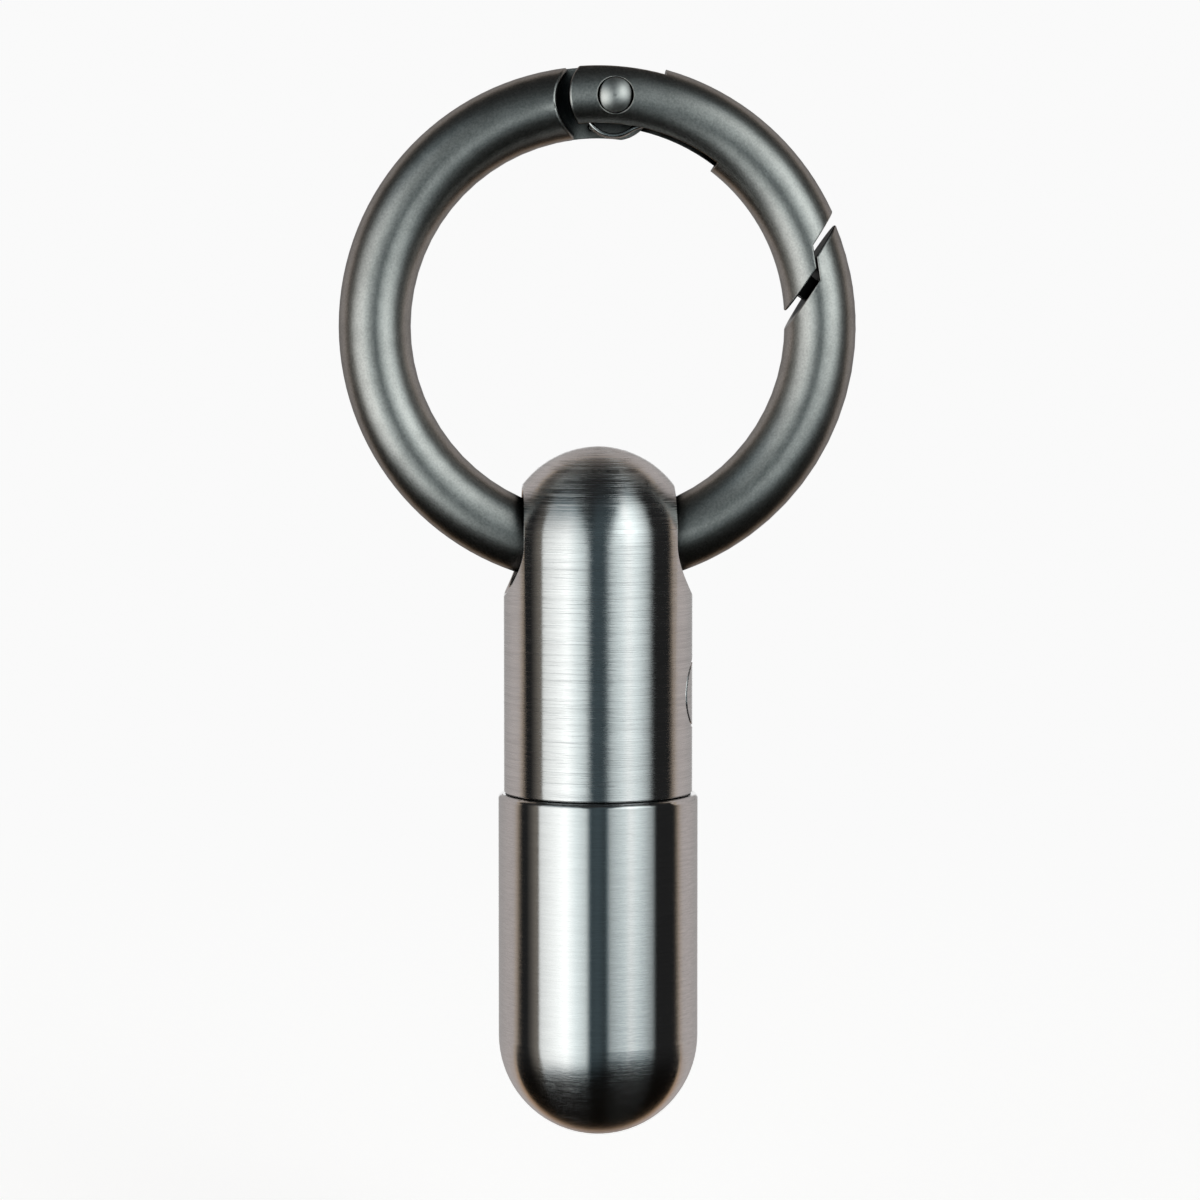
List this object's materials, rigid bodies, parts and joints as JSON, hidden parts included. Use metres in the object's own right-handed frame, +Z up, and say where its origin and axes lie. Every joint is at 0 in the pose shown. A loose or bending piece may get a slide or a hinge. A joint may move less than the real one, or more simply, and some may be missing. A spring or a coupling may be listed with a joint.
{
  "type": "pill fob keychain",
  "caption": "Round-ended steel pill capsule that unscrews in the middle, hung through a cross hole on a round key ring with a hinged spring gate.",
  "frame": {"origin": "middle of the key ring, in the ring's mid plane", "axes": "+Z up along the fob's axis towards the ring's top, +X towards the gate, +Y from front to back along the ring's own axis"},
  "size_m": [0.0346, 0.0134, 0.0717],
  "materials": {
    "gunmetal": "satin dark plating with a fine grain",
    "spring_steel": "bright drawn wire",
    "brushed_steel": "fine brushing round the axis",
    "polished_steel": "very fine brushing round the axis, almost polished",
    "seal_rubber": "matt black"
  },
  "bodies": {
    "ring": {"ring_body": "gunmetal", "hinge_rivet": "gunmetal", "gate_spring": "spring_steel"},
    "gate": {"gate": "gunmetal"},
    "cap": {"cap": "brushed_steel"},
    "seal": {"seal_ring": "seal_rubber"},
    "cup": {"cup": "polished_steel"}
  },
  "joints": [
    {"name": "gate_swing", "type": "hinge", "parent": "ring", "child": "gate", "pos_m": [0.00104, 0, 0.01524], "axis": [0, 1, 0], "range_deg": [0, 35], "stiffness_Nm_per_rad": 0.005, "springref_deg": -57.3, "deforming": ["gate_spring"]},
    {"name": "fob_swing", "type": "hinge", "parent": "ring", "child": "cap", "pos_m": [0, 0, -0.01429], "axis": [1, 0, 0], "range_deg": [-130, 130]},
    {"name": "cup_lift", "type": "slide", "parent": "cap", "child": "seal", "axis": [0, 0, -1], "range_m": [0, 0.008]},
    {"name": "cup_turn", "type": "hinge", "parent": "seal", "child": "cup", "pos_m": [0, 0, -0.04], "axis": [0, 0, -1], "range_deg": [0, 2304]}
  ],
  "couplings": [
    {"joint": "cup_lift", "follows": "cup_turn", "m_per_rad": 0.00019894}
  ]
}
